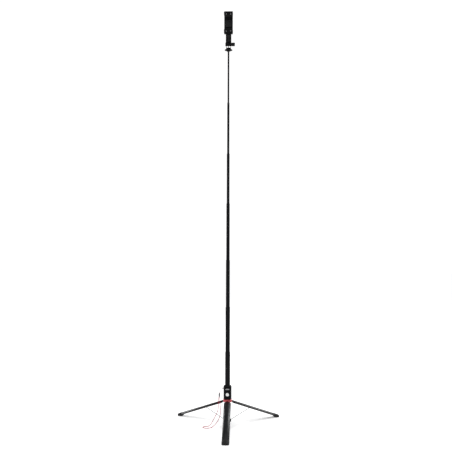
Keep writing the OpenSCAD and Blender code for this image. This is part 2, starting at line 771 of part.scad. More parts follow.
// Arm: a knuckle in the yoke, two side rails joined by a web, and a round hub behind the clamp
module arm_frame() {
  knuckle_half = yoke_gap / 2 - 0.15;
  hub_bar_t = 4;
  color([0.07, 0.07, 0.08]) on_axis() difference() {
    union() {
      translate([0, 0, tilt_z]) rod_x(barrel_r - 0.1, -knuckle_half, knuckle_half);
      translate([-knuckle_half, -arm_d / 2, tilt_z])
        cube([2 * knuckle_half, arm_d, arm_low - tilt_z + arm_bar_t]);
      translate([-arm_w / 2, -arm_d / 2, arm_low]) cube([arm_w, arm_d, arm_bar_t]);
      translate([-arm_w / 2 + 1, web_front_y, arm_low]) cube([arm_w - 2, web_t, cover_h + arm_bar_t + 1]);
      for (side = [-1, 1]) translate([side * (arm_w - rail_w) / 2 - rail_w / 2, -arm_d / 2, arm_low])
        cube([rail_w, arm_d, clamp_z - arm_low]);
      translate([-arm_w / 2, -arm_d / 2, arm_low + arm_bar_t + cover_h]) cube([arm_w, arm_d, hub_bar_t]);
      translate([0, 0, clamp_z]) rod_y(arm_hub_r, -arm_d / 2, arm_d / 2);
    }
    translate([0, 0, tilt_z]) rod_x(bolt_d / 2 + run_gap, -arm_w, arm_w);
    translate([0, 0, clamp_z]) rod_y(pivot_screw_d / 2 + run_gap, -arm_d, arm_d);
  }
}

// Waisted plate between the arm's rails, in front of the web
module arm_cover() {
  inside_w = arm_w - 2 * rail_w;
  waist_r = 22;
  color([0.32, 0.32, 0.33]) on_axis()
    translate([0, web_front_y, arm_low + arm_bar_t + cover_h / 2]) rotate([90, 0, 0])
      linear_extrude(web_front_y + arm_d / 2 - 0.6)
      difference() {
        square([inside_w, cover_h], center = true);
        for (side = [-1, 1]) translate([side * (inside_w / 2 + waist_r - 4), 0]) circle(waist_r, $fn = 96);
      }
}

// ---- phone clamp ----
// Round corners seen from the front, at the clamp's two ends
module clamp_outline(z0, z1, r, flare = 0) {
  translate([0, (z0 + z1) / 2]) round_rect(clamp_w + 2 * flare, z1 - z0, r);
}

// Front housing with the lower jaw; the slider's tongues run inside it
module clamp_base() {
  color([0.06, 0.06, 0.07]) on_axis() difference() {
    union() {
      translate([0, clamp_back_y - back_plate_t, 0]) rotate([90, 0, 0])
        linear_extrude(clamp_d - back_plate_t) clamp_outline(clamp_low, housing_top, 1.5);
      translate([0, clamp_front_y + cut, 0]) rotate([90, 0, 0])
        linear_extrude(jaw_reach + cut) clamp_outline(clamp_low, jaw_low_top, 3, jaw_flare);
    }
    translate([-clamp_w / 2 + side_wall, clamp_front_y + front_wall, clamp_low + 3])
      cube([clamp_w - 2 * side_wall, clamp_d, clamp_h]);
    translate([0, 0, clamp_z]) rod_y(1.5, clamp_front_y, clamp_back_y);
    for (x = [-jaw_screw_x, jaw_screw_x]) translate([x, 0, clamp_low + jaw_screw_up]) {
      rod_y(jaw_screw_bore_r, jaw_front_y - cut, jaw_front_y + 9);
      rod_y(jaw_screw_head_r + 0.1, jaw_front_y - cut, jaw_front_y + 1.4);
    }
    // hollow under the jaw
    translate([-clamp_w / 2 + 4, jaw_front_y + 3, clamp_low - cut])
      cube([clamp_w - 8, jaw_reach - 5, 3 + cut]);
  }
}

module clamp_back() {
  color([0.06, 0.06, 0.07]) on_axis() difference() {
    union() {
      translate([0, clamp_back_y, 0]) rotate([90, 0, 0])
        linear_extrude(back_plate_t) clamp_outline(clamp_low, housing_top, 1.5);
      translate([0, 0, clamp_z]) rod_y(pivot_boss_r, clamp_front_y + front_wall, clamp_back_y);
      translate([0, 0, clamp_z]) rod_y(8, clamp_back_y, clamp_back_y + 1);
    }
    translate([0, 0, clamp_z]) rod_y(pivot_screw_d / 2, clamp_front_y + front_wall + 0.8, 0);
    for (side = [-1, 1]) translate([side * (clamp_w / 2 - 6), 0, clamp_low + 5])
      rod_y(1, clamp_front_y - 4, 0);
  }
}

// Screw through the arm's hub into the clamp's back: the clamp turns on it
module clamp_pivot_screw() {
  color("silver") on_axis() translate([0, 0, clamp_z]) difference() {
    union() {
      rod_y(pivot_screw_d / 2, clamp_front_y + front_wall + 0.8, arm_d / 2 + 0.1);
      rod_y(5, arm_d / 2 + 0.1, arm_d / 2 + 2.4);
    }
    for (turn = [0, 90]) rotate([0, turn, 0]) translate([-2.6, arm_d / 2 + 1.2, -0.5]) cube([5.2, 4, 1]);
  }
}

module jaw_screw(y_front, long) {
  difference() {
    union() {
      rod_y(jaw_screw_head_r, y_front + 0.2, y_front + 1.4);
      rod_y(jaw_screw_bore_r, y_front + 1.3, y_front + long);
    }
    for (turn = [0, 90]) rotate([0, turn, 0])
      translate([-1.2, y_front - cut, -0.25]) cube([2.4, cut + 0.8, 0.5]);
  }
}

module clamp_screws() {
  color("silver") on_axis() for (x = [-jaw_screw_x, jaw_screw_x])
    translate([x, 0, clamp_low + jaw_screw_up]) jaw_screw(jaw_front_y, 8.5);
}

module upper_jaw_screws() {
  color("silver") on_axis() for (x = [-jaw_screw_x, jaw_screw_x])
    translate([x, 0, clamp_high - jaw_screw_down]) jaw_screw(jaw_front_y, 8.5);
}

module clamp_back_pad() {
  pad_h = 29;
  back_pad_t = 1.4;
  pad_z = clamp_z + housing_up - pad_h / 2 - 3;
  color([0.4, 0.4, 0.42]) on_axis() difference() {
    slab(clamp_w - 9, pad_h, 3, pad_z, clamp_front_y, back_pad_t);
    for (k = [-3:3]) translate([-clamp_w / 2, clamp_front_y - back_pad_t - cut, pad_z + 3.6 * k - 0.4])
      cube([clamp_w, cut + 0.5, 0.8]);
  }
}

module jaw_pad(z) {
  difference() {
    translate([-clamp_w / 2 + 1.5, jaw_front_y + 1.5, z]) cube([clamp_w - 3, jaw_reach - 2.2, pad_t]);
    children();
  }
}

module lower_jaw_pad() {
  color([0.16, 0.16, 0.17]) on_axis() jaw_pad(jaw_low_top)
    for (k = [0:3]) translate([-clamp_w, jaw_front_y + 3.4 + 2.6 * k, jaw_low_top + pad_t - 0.7])
      cube([2 * clamp_w, 1, 2]);
}

module upper_jaw_pad() {
  color([0.16, 0.16, 0.17]) on_axis() jaw_pad(jaw_high_low - pad_t)
    for (k = [0:3]) translate([-clamp_w, jaw_front_y + 3.4 + 2.6 * k, jaw_high_low - pad_t - 1.3])
      cube([2 * clamp_w, 1, 2]);
}

// Two springs that pull the upper jaw down
module jaw_springs() {
  color("silver") on_axis() for (side = [-1, 1])
    translate([side * (tongue_x + tongue_w / 2), (tongue_front_y + tongue_back_y) / 2, 0])
      ring(spring_r - wire_t, spring_r, spring_low, tongue_low - 0.02);
}

// Upper jaw with the two tongues that slide in the housing
module clamp_slider() {
  color([0.06, 0.06, 0.07]) on_axis() difference() {
    union() {
      translate([0, clamp_back_y, 0]) rotate([90, 0, 0])
        linear_extrude(clamp_d) clamp_outline(housing_top + gap, clamp_high, 1.5);
      translate([0, clamp_front_y + cut, 0]) rotate([90, 0, 0])
        linear_extrude(jaw_reach + cut) clamp_outline(jaw_high_low, clamp_high, 3, jaw_flare);
      for (side = [-1, 1])
        translate([side * (tongue_x + tongue_w / 2) - tongue_w / 2, tongue_front_y, tongue_low])
        cube([tongue_w, tongue_back_y - tongue_front_y, housing_top - tongue_low + 3]);
    }
    for (x = [-jaw_screw_x, jaw_screw_x]) translate([x, 0, clamp_high - jaw_screw_down]) {
      rod_y(jaw_screw_bore_r, jaw_front_y - cut, jaw_front_y + 9);
      rod_y(jaw_screw_head_r + 0.1, jaw_front_y - cut, jaw_front_y + 1.4);
    }
  }
}

// ---- remote ----
module remote_front_case() {
  split_y = -remote_back_y - remote_d / 2;
  color([0.05, 0.05, 0.06]) on_axis() difference() {
    slab(remote_w, remote_h, remote_corner, remote_mid_z, split_y, remote_d / 2);
    slab(remote_w - 2 * case_wall, remote_h - 2 * case_wall, remote_corner - case_wall, remote_mid_z,
      split_y + cut, remote_d / 2 - case_wall + cut);
    translate([0, 0, button_z]) rod_y(button_d / 2 + run_gap, -remote_front_y - cut, split_y);
    slab(badge_w, badge_h, badge_h / 2 - 0.01, badge_z, -remote_front_y + 0.3, cut);
  }
}

module remote_back_case() {
  split_y = -remote_back_y - remote_d / 2;
  color([0.05, 0.05, 0.06]) on_axis() difference() {
    slab(remote_w, remote_h, remote_corner, remote_mid_z, -remote_back_y, remote_d / 2);
    slab(remote_w - 2 * case_wall, remote_h - 2 * case_wall, remote_corner - case_wall, remote_mid_z,
      -remote_back_y - 1, remote_d / 2);
    translate([0, 0, button_z]) rod_y(door_r, split_y, cut);
  }
}

module battery_door() {
  color([0.08, 0.08, 0.09]) on_axis() difference() {
    translate([0, 0, button_z]) rod_y(door_r, -remote_back_y - 1, -remote_back_y);
    translate([-4, -remote_back_y - 0.4, button_z - 0.6]) cube([8, cut, 1.2]);
  }
}

module coin_cell() {
  color("silver") on_axis() translate([0, 0, button_z]) {
    rod_y(cell_d / 2, -remote_back_y - 3.3, -remote_back_y - 1);
    rod_y(cell_d / 2 - 1.5, -remote_back_y - 3.7, -remote_back_y - 3.3);
  }
}

module remote_pcb() {
  color("darkgreen") on_axis()
    slab(remote_w - 2 * case_wall - 0.4, remote_h - 2 * case_wall - 0.4, remote_corner - case_wall,
      remote_mid_z, -remote_back_y - 3.8, 0.8);
}

// The switch behind the button, with a hole for the button's stem
module tact_switch() {
  back_y = -remote_back_y - 4.6;
  color("gray") on_axis() difference() {
    translate([-3, back_y - 1.5, button_z - 3]) cube([6, 1.5, 6]);
    translate([0, 0, button_z]) rod_y(1.3 + run_gap, back_y - 2, back_y - 0.1);
  }
}

module remote_badge() {
  color([0.5, 0.5, 0.52]) on_axis()
    slab(badge_w, badge_h, badge_h / 2 - 0.01, badge_z, -remote_front_y + 0.3, 0.5);
}

// Round push button with a flange behind the case and a stem into the switch
module shutter_button() {
  case_in_y = -remote_front_y + case_wall;
  switch_y = -remote_back_y - 4.7;
  color("whitesmoke") on_axis() translate([0, 0, button_z]) {
    translate([0, -remote_front_y - 0.8, 0]) rotate([-90, 0, 0]) rotate_extrude() polygon([
      [0, 0.25], [button_d / 2 - 2.4, 0.1], [button_d / 2 - 1.4, 0], [button_d / 2 - 0.5, 0],
      [button_d / 2, 0.5], [button_d / 2, 1.1 + case_wall], [0, 1.1 + case_wall]
    ]);
    rod_y(button_d / 2 + 0.5, case_in_y + 0.05, case_in_y + 0.55);
    rod_y(1.3, case_in_y + 0.5, switch_y - button_travel - 0.1);
  }
}

hub_ring();
leg_pins();
guide_bushes();
body_front_shell();
body_rear_shell();
body_top_collar();
body_screws();
strap_eyelet();
strap_string();
strap_bead();
strap_loop();
leg(front_az);  // leg_front
leg(left_az);  // leg_left
leg(right_az);  // leg_right
foot(front_az);  // foot_front
foot(left_az);  // foot_left
foot(right_az);  // foot_right
strut(front_az);  // strut_front
strut(left_az);  // strut_left
strut(right_az);  // strut_right
spider();
tube(1);  // tube_1
tube(2);  // tube_2
tube(3);  // tube_3
tube(4);  // tube_4
tube(5);  // tube_5
tube(6);  // tube_6
tube(7);  // tube_7
sleeve(2);  // sleeve_2
sleeve(3);  // sleeve_3
sleeve(4);  // sleeve_4
sleeve(5);  // sleeve_5
sleeve(6);  // sleeve_6
sleeve(7);  // sleeve_7
pole_cap();
swivel_rivet();
yoke();
tilt_bolt();
tilt_knob();
arm_frame();
arm_cover();
clamp_base();
clamp_back();
clamp_pivot_screw();
clamp_screws();
clamp_back_pad();
lower_jaw_pad();
jaw_springs();
clamp_slider();
upper_jaw_pad();
upper_jaw_screws();
remote_front_case();
remote_back_case();
battery_door();
coin_cell();
remote_pcb();
tact_switch();
remote_badge();
shutter_button();
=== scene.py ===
import json
import math

import bmesh
import bpy
from mathutils import Matrix, Vector


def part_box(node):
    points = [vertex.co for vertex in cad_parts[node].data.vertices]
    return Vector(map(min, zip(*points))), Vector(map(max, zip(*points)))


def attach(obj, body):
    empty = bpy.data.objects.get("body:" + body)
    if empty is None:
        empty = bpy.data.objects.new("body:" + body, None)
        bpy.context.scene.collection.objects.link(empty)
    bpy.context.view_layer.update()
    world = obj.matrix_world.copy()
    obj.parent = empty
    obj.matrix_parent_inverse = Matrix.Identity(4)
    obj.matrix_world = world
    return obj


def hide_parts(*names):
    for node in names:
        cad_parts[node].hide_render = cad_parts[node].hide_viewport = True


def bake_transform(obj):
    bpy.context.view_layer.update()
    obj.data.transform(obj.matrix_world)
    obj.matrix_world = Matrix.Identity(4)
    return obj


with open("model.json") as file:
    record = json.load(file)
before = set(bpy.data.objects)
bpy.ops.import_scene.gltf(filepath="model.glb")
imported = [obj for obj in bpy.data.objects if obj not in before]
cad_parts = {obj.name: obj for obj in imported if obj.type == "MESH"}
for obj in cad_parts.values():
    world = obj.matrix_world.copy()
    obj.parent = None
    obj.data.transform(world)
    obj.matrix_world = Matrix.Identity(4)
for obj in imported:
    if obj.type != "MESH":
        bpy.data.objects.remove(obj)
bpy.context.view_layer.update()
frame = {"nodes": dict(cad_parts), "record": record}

# ---- Camera ----
# Square on to the front leg, level, at half the height of the stand,
# with a normal lens that just takes in the whole pole.
tube_low, tube_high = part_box("tube_4")
pole = Vector(((tube_low.x + tube_high.x) / 2, (tube_low.y + tube_high.y) / 2, 0))
view_turn = math.radians(2)
view_distance = 2.58
view_height = 0.818
view_left = 0.0083
view_roll = math.radians(-0.17)
lens_mm = 49.94
sensor_mm = 36
ahead = Vector((-math.sin(view_turn), math.cos(view_turn), 0))
rightward = Vector((math.cos(view_turn), math.sin(view_turn), 0))
camera_data = bpy.data.cameras.new("camera")
camera_data.lens = lens_mm
camera_data.sensor_width = sensor_mm
camera = bpy.data.objects.new("camera", camera_data)
camera.location = pole - view_distance * ahead - view_left * rightward
camera.location.z = view_height
camera.rotation_euler = (math.radians(90), view_roll, view_turn)
bpy.context.collection.objects.link(camera)
bpy.context.scene.camera = camera
bpy.context.scene.view_settings.view_transform = "Standard"


# ---- Floor and light ----
# A white studio sweep under one very broad light overhead, with a tall soft light in front
# on the left, and two from behind: one on the right, and one low on the left.
def from_bmesh(name, bm):
    """A new smooth-shaded object from a finished bmesh, with its place in its mesh."""
    mesh = bpy.data.meshes.new(name)
    bm.to_mesh(mesh)
    bm.free()
    mesh.polygons.foreach_set("use_smooth", [True] * len(mesh.polygons))
    made = bpy.data.objects.new(name, mesh)
    bpy.context.collection.objects.link(made)
    return made


def new_material(name):
    """A node material, with its nodes, a function that joins two sockets, and its shader."""
    material = bpy.data.materials.new(name)
    material.use_nodes = True
    tree = material.node_tree
    return material, tree.nodes, tree.links.new, tree.nodes["Principled BSDF"]


# A colour mix has several sets of sockets, so the ones for colours are known by number
MIX_SHARE, MIX_FIRST, MIX_SECOND, MIXED = 0, 6, 7, 2

floor_half = 9
floor_bm = bmesh.new()
bmesh.ops.create_grid(floor_bm, x_segments=2, y_segments=2, size=floor_half)
floor = from_bmesh("floor", floor_bm)
floor_paint, nodes, join, shader = new_material("white_floor")
floor_grain = nodes.new("ShaderNodeTexNoise")
floor_grain.inputs["Scale"].default_value = 3
floor_shade = nodes.new("ShaderNodeMix")
floor_shade.data_type = "RGBA"
floor_shade.inputs[MIX_FIRST].default_value = (0.90, 0.90, 0.90, 1)
floor_shade.inputs[MIX_SECOND].default_value = (0.93, 0.93, 0.93, 1)
join(floor_grain.outputs["Fac"], floor_shade.inputs[MIX_SHARE])
join(floor_shade.outputs[MIXED], shader.inputs["Base Color"])
shader.inputs["Roughness"].default_value = 0.9
shader.inputs["Specular IOR Level"].default_value = 0.1
shader.inputs["Emission Color"].default_value = (1, 1, 1, 1)
shader.inputs["Emission Strength"].default_value = 0.36
floor.data.materials.append(floor_paint)


def softbox(name, place, aim, width, height, power):
    """A soft rectangular light at a place, turned to face a point."""
    data = bpy.data.lights.new(name, "AREA")
    data.shape = "RECTANGLE"
    data.size, data.size_y = width, height
    data.energy = power
    lamp = bpy.data.objects.new(name, data)
    lamp.location = place
    lamp.rotation_euler = (Vector(aim) - Vector(place)).to_track_quat("-Z", "Y").to_euler()
    bpy.context.collection.objects.link(lamp)


overhead = bpy.data.lights.new("overhead_light", "SUN")
overhead.energy = 2.2
overhead.angle = math.radians(50)
overhead_lamp = bpy.data.objects.new("overhead_light", overhead)
overhead_lamp.rotation_euler = (math.radians(20), math.radians(-4), 0)
bpy.context.collection.objects.link(overhead_lamp)
mid_pole = (0, 0, 0.9)
leg_roots = (0, -0.1, 0.05)
softbox("left_light", (-2.6, -1.6, 1.0), mid_pole, width=0.9, height=2.2, power=10)
softbox("right_light", (1.7, 1.9, 1.6), leg_roots, width=0.7, height=1.5, power=46)
softbox("low_left_light", (-2.2, 2.6, 0.8), leg_roots, width=0.8, height=1.2, power=30)

# The sweep itself is seen as white, and lights the stand more weakly
world = bpy.data.worlds.new("sweep")
bpy.context.scene.world = world
world.use_nodes = True
sky_nodes, sky_join = world.node_tree.nodes, world.node_tree.links.new
seen_white = sky_nodes.new("ShaderNodeBackground")
seen_white.inputs["Color"].default_value = (1, 1, 1, 1)
seen_white.inputs["Strength"].default_value = 1.05
sweep_light = sky_nodes["Background"]
sweep_light.inputs["Color"].default_value = (0.93, 0.96, 1, 1)
sweep_light.inputs["Strength"].default_value = 0.10
camera_rays = sky_nodes.new("ShaderNodeLightPath")
sky_mix = sky_nodes.new("ShaderNodeMixShader")
sky_join(camera_rays.outputs["Is Camera Ray"], sky_mix.inputs[0])
sky_join(sweep_light.outputs[0], sky_mix.inputs[1])
sky_join(seen_white.outputs[0], sky_mix.inputs[2])
sky_join(sky_mix.outputs[0], sky_nodes["World Output"].inputs["Surface"])

# ---- Wrist strap ----
# A braided cord loop and the thin string that ties it to the body's ring, both caught
# in a barrel bead. The loop hangs in front of the left leg and lies on the floor.
MM = 0.001
strap_d = 2.3 * MM
string_d = 1.0 * MM
loop_strands, loop_pitch, loop_relief = 8, 0.0052, 0.00016
string_strands, string_pitch, string_relief = 4, 0.0024, 0.00008
loop_parts, loop_sides = 24, 24
string_parts, string_sides = 10, 12
loop_route = [
    (-35, -12, 118), (-37, -14, 106), (-37, -15, 94), (-37, -17, 82), (-38, -18, 70),
    (-41, -20, 58), (-46, -22, 48), (-51, -23, 38), (-56, -24, 28), (-61, -25, 19),
    (-67, -26, 10), (-74, -27, 4), (-81, -27, 1.4), (-89, -28, 1.4), (-96, -32, 1.4),
    (-99, -39, 1.4), (-96, -46, 1.4), (-89, -50, 1.4), (-80, -51, 1.4), (-71, -48, 1.4),
    (-63, -43, 2.2), (-56, -39, 6), (-50, -36, 11), (-44, -33, 17), (-39, -30, 24),
    (-34, -27, 33), (-30, -24, 43), (-28, -21, 54), (-28, -19, 66), (-29, -17, 79),
    (-30, -15, 92), (-31, -13, 105), (-32, -12, 118),
]
string_route = [
    (-33, -13, 133), (-30, -11, 138), (-27, -8, 143), (-24, -6, 148), (-22, -4.8, 150.4),
    (-20, -4, 151.4), (-19.2, -3, 151.6), (-20, -2, 151), (-22, -1.6, 149.6), (-25, -4, 146),
    (-28, -7, 142), (-31, -9, 138), (-34, -11, 133),
]


def smooth_line(route, parts):
    """Points in metres along a smooth curve through a route given in millimetres from the pole."""
    knots = [pole + Vector(p) * MM for p in route]
    padded = [2 * knots[0] - knots[1], *knots, 2 * knots[-1] - knots[-2]]
    line = []
    for a, b, c, d in zip(padded, padded[1:], padded[2:], padded[3:]):
        for step in range(parts):
            t = step / parts
            bend = 2 * a - 5 * b + 4 * c - d
            twist = 3 * b - a - 3 * c + d
            line.append(0.5 * (2 * b + (c - a) * t + bend * t**2 + twist * t**3))
    return line + [knots[-1]]


def sweep(name, line, radius, sides, relief=None):
    """A closed tube along a line, with a UV map of turns round it and metres along it.
    relief(turn, metres) gives how far the surface stands in or out there."""
    bm = bmesh.new()
    side = Vector((0.3, 1, 0.1))
    along = 0
    rings, runs = [], []
    for i, point in enumerate(line):
        if i:
            along += (point - line[i - 1]).length
        heading = (line[min(i + 1, len(line) - 1)] - line[max(i - 1, 0)]).normalized()
        side = (side - side.dot(heading) * heading).normalized()
        up = heading.cross(side)
        ring = []
        for k in range(sides):
            turn = k / sides
            r = radius + (relief(turn, along) if relief else 0)
            angle = 2 * math.pi * turn
            outward = math.cos(angle) * side + math.sin(angle) * up
            ring.append(bm.verts.new(point + r * outward))
        rings.append(ring)
        runs.append(along)
    uv = bm.loops.layers.uv.new("UVMap")
    for i, (lower, upper) in enumerate(zip(rings, rings[1:])):
        for k in range(sides):
            after = (k + 1) % sides
            face = bm.faces.new((lower[k], lower[after], upper[after], upper[k]))
            corners = ((k, i), (k + 1, i), (k + 1, i + 1), (k, i + 1))
            for loop, (turn, row) in zip(face.loops, corners):
                loop[uv].uv = (turn / sides, runs[row])
    bm.faces.new(list(reversed(rings[0])))
    bm.faces.new(rings[-1])
    return from_bmesh(name, bm)


body_of_node = {node: body
                for body, members in frame["record"]["behaviour"]["bodies"].items()
                for node in members}


def stand_for(piece, node, material):
    """A finished piece takes the place of a CAD node, with its material, on the body that the
    record gives that node.
    """
    piece.data.materials.clear()
    piece.data.materials.append(material)
    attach(piece, body_of_node[node])
    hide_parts(node)
    return piece


def braid_relief(strands, pitch, depth):
    """Two sets of strands that cross over and under each other, as on a round braid."""
    def relief(turn, metres):
        right_hand = math.cos(math.pi * (strands * turn + 2 * metres / pitch))
        left_hand = math.cos(math.pi * (strands * turn - 2 * metres / pitch))
        return depth * (max(abs(right_hand), abs(left_hand)) - 1)
    return relief


def braid_material(name, strands, pitch, thread, fleck):
    """Crossed threads drawn on the tube's own UV map, with painted shade in the gaps between them
    and fibre fuzz along them.
    """
    material, nodes, join, shader = new_material(name)
    uv_map = nodes.new("ShaderNodeUVMap")
    uv_map.uv_map = "UVMap"
    parts = nodes.new("ShaderNodeSeparateXYZ")
    join(uv_map.outputs["UV"], parts.inputs[0])
    bands = []
    for hand in (1, -1):
        round_part = nodes.new("ShaderNodeMath")
        round_part.operation = "MULTIPLY"
        round_part.inputs[1].default_value = strands * math.pi
        join(parts.outputs["X"], round_part.inputs[0])
        along_part = nodes.new("ShaderNodeMath")
        along_part.operation = "MULTIPLY_ADD"
        along_part.inputs[1].default_value = hand * 2 * math.pi / pitch
        join(parts.outputs["Y"], along_part.inputs[0])
        join(round_part.outputs[0], along_part.inputs[2])
        wave = nodes.new("ShaderNodeMath")
        wave.operation = "COSINE"
        join(along_part.outputs[0], wave.inputs[0])
        height = nodes.new("ShaderNodeMath")
        height.operation = "ABSOLUTE"
        join(wave.outputs[0], height.inputs[0])
        bands.append(height)
    crossing = nodes.new("ShaderNodeMath")
    crossing.operation = "SUBTRACT"
    join(bands[0].outputs[0], crossing.inputs[0])
    join(bands[1].outputs[0], crossing.inputs[1])
    over = nodes.new("ShaderNodeMath")
    over.operation = "MAXIMUM"
    join(bands[0].outputs[0], over.inputs[0])
    join(bands[1].outputs[0], over.inputs[1])
    pick = nodes.new("ShaderNodeMapRange")
    pick.inputs["From Min"].default_value = -0.5
    pick.inputs["From Max"].default_value = 0.5
    join(crossing.outputs[0], pick.inputs["Value"])
    threads = nodes.new("ShaderNodeMix")
    threads.data_type = "RGBA"
    threads.inputs[MIX_FIRST].default_value = (*thread, 1)
    threads.inputs[MIX_SECOND].default_value = (*fleck, 1)
    join(pick.outputs[0], threads.inputs[MIX_SHARE])
    # Painted shade: the thread colour is darkened where neither strand stands high, in the gaps
    # between the threads
    painted_gap_shade = nodes.new("ShaderNodeMapRange")
    painted_gap_shade.inputs["From Min"].default_value = 0.55
    painted_gap_shade.inputs["From Max"].default_value = 0.9
    painted_gap_shade.inputs["To Min"].default_value = 0.45
    join(over.outputs[0], painted_gap_shade.inputs["Value"])
    shaded = nodes.new("ShaderNodeMix")
    shaded.data_type = "RGBA"
    shaded.blend_type = "MULTIPLY"
    shaded.inputs[MIX_SHARE].default_value = 1
    join(threads.outputs[MIXED], shaded.inputs[MIX_FIRST])
    join(painted_gap_shade.outputs[0], shaded.inputs[MIX_SECOND])
    join(shaded.outputs[MIXED], shader.inputs["Base Color"])
    place = nodes.new("ShaderNodeTexCoord")
    fuzz = nodes.new("ShaderNodeTexNoise")
    fuzz.inputs["Scale"].default_value = 5200
    fuzz.inputs["Detail"].default_value = 4
    join(place.outputs["Object"], fuzz.inputs["Vector"])
    fibres = nodes.new("ShaderNodeMath")
    fibres.operation = "MULTIPLY_ADD"
    fibres.inputs[1].default_value = 0.5
    join(fuzz.outputs["Fac"], fibres.inputs[0])
    join(over.outputs[0], fibres.inputs[2])
    bump = nodes.new("ShaderNodeBump")
    bump.inputs["Distance"].default_value = 0.00012
    join(fibres.outputs[0], bump.inputs["Height"])
    join(bump.outputs[0], shader.inputs["Normal"])
    shader.inputs["Roughness"].default_value = 0.78
    shader.inputs["Sheen Weight"].default_value = 0.08
    shader.inputs["Specular IOR Level"].default_value = 0.2
    return material


loop_line = smooth_line(loop_route, loop_parts)
loop_braid = braid_material("burgundy_braid", loop_strands, loop_pitch,
                            thread=(0.36, 0.008, 0.030), fleck=(0.50, 0.035, 0.065))
strap_loop = sweep("strap_cord_loop", loop_line, strap_d / 2, loop_sides,
                   braid_relief(loop_strands, loop_pitch, loop_relief))
stand_for(strap_loop, "strap_loop", loop_braid)

string_line = smooth_line(string_route, string_parts)
string_twist = braid_material("grey_twine", string_strands, string_pitch,
                              thread=(0.24, 0.035, 0.055), fleck=(0.34, 0.07, 0.09))
strap_string = sweep("strap_thread", string_line, string_d / 2, string_sides,
                     braid_relief(string_strands, string_pitch, string_relief))
stand_for(strap_string, "strap_string", string_twist)


def turned(name, outline, steps):
    """A shape turned on the pole's axis from an outline of (radius, height) in metres.
    One that starts and ends on the axis makes a solid, any other is closed into a ring."""
    bm = bmesh.new()
    verts = [bm.verts.new(pole + Vector((radius, 0, height))) for radius, height in outline]
    edges = [bm.edges.new(pair) for pair in zip(verts, verts[1:])]
    if outline[0][0] > 0 or outline[-1][0] > 0:
        edges.append(bm.edges.new((verts[-1], verts[0])))
    bmesh.ops.spin(bm, geom=verts + edges, cent=pole, axis=(0, 0, 1), dvec=(0, 0, 0),
                   angle=2 * math.pi, steps=steps, use_merge=True)
    bmesh.ops.remove_doubles(bm, verts=bm.verts, dist=1e-6)
    bmesh.ops.recalc_face_normals(bm, faces=bm.faces)
    return from_bmesh(name, bm)


def arc(radius, height, curve, first, last):
    """Outline points round a corner: a centre, a curve's radius and two angles in degrees."""
    steps = 5
    angles = [math.radians(first + (last - first) * i / steps) for i in range(steps + 1)]
    return [(radius + curve * math.cos(a), height + curve * math.sin(a)) for a in angles]


def crease(piece, degrees=35):
    """Keeps edges sharper than this angle crisp under smooth shading."""
    bm = bmesh.new()
    bm.from_mesh(piece.data)
    for edge in bm.edges:
        if len(edge.link_faces) == 2 and edge.calc_face_angle() > math.radians(degrees):
            edge.smooth = False
    bm.to_mesh(piece.data)
    bm.free()
    return piece


# Every hard surface has some grain, and the grain's own mask varies its colour and gloss
def grain_group():
    """Shared effect: fine grain for the bump and broad blotches for colour and gloss."""
    group = bpy.data.node_groups.new("surface grain", "ShaderNodeTree")
    for name, kind in (("Scale", "Float"), ("Stretch", "Vector"), ("Blotch", "Float")):
        group.interface.new_socket(name, in_out="INPUT", socket_type="NodeSocket" + kind)
    for name in ("Height", "Mask"):
        group.interface.new_socket(name, in_out="OUTPUT", socket_type="NodeSocketFloat")
    nodes, join = group.nodes, group.links.new
    given, given_back = nodes.new("NodeGroupInput"), nodes.new("NodeGroupOutput")
    place = nodes.new("ShaderNodeTexCoord")
    stretched = nodes.new("ShaderNodeVectorMath")
    stretched.operation = "MULTIPLY"
    join(place.outputs["Object"], stretched.inputs[0])
    join(given.outputs["Stretch"], stretched.inputs[1])
    fine = nodes.new("ShaderNodeTexNoise")
    fine.inputs["Detail"].default_value = 5
    join(stretched.outputs[0], fine.inputs["Vector"])
    join(given.outputs["Scale"], fine.inputs["Scale"])
    broad = nodes.new("ShaderNodeTexNoise")
    broad.inputs["Detail"].default_value = 3
    join(place.outputs["Object"], broad.inputs["Vector"])
    join(given.outputs["Blotch"], broad.inputs["Scale"])
    both = nodes.new("ShaderNodeMath")
    both.operation = "MULTIPLY"
    join(fine.outputs["Fac"], both.inputs[0])
    join(broad.outputs["Fac"], both.inputs[1])
    spread = nodes.new("ShaderNodeMapRange")
    spread.inputs["From Min"].default_value = 0.12
    spread.inputs["From Max"].default_value = 0.40
    join(both.outputs[0], spread.inputs["Value"])
    join(fine.outputs["Fac"], given_back.inputs["Height"])
    join(spread.outputs[0], given_back.inputs["Mask"])
    return group


def scratch_group():
    """Shared effect: sparse hairline scratches that run mostly one way."""
    group = bpy.data.node_groups.new("hairline scratches", "ShaderNodeTree")
    group.interface.new_socket("Stretch", in_out="INPUT", socket_type="NodeSocketVector")
    group.interface.new_socket("Amount", in_out="INPUT", socket_type="NodeSocketFloat")
    group.interface.new_socket("Mask", in_out="OUTPUT", socket_type="NodeSocketFloat")
    nodes, join = group.nodes, group.links.new
    given, given_back = nodes.new("NodeGroupInput"), nodes.new("NodeGroupOutput")
    place = nodes.new("ShaderNodeTexCoord")
    stretched = nodes.new("ShaderNodeVectorMath")
    stretched.operation = "MULTIPLY"
    join(place.outputs["Object"], stretched.inputs[0])
    join(given.outputs["Stretch"], stretched.inputs[1])
    lines = nodes.new("ShaderNodeTexNoise")
    lines.inputs["Scale"].default_value = 1
    lines.inputs["Detail"].default_value = 2
    join(stretched.outputs[0], lines.inputs["Vector"])
    cut_in = nodes.new("ShaderNodeMapRange")
    cut_in.inputs["From Min"].default_value = 0.66
    cut_in.inputs["From Max"].default_value = 0.74
    join(lines.outputs["Fac"], cut_in.inputs["Value"])
    scaled = nodes.new("ShaderNodeMath")
    scaled.operation = "MULTIPLY"
    join(cut_in.outputs[0], scaled.inputs[0])
    join(given.outputs["Amount"], scaled.inputs[1])
    join(scaled.outputs[0], given_back.inputs["Mask"])
    return group


surface_grain = grain_group()
hairline_scratches = scratch_group()


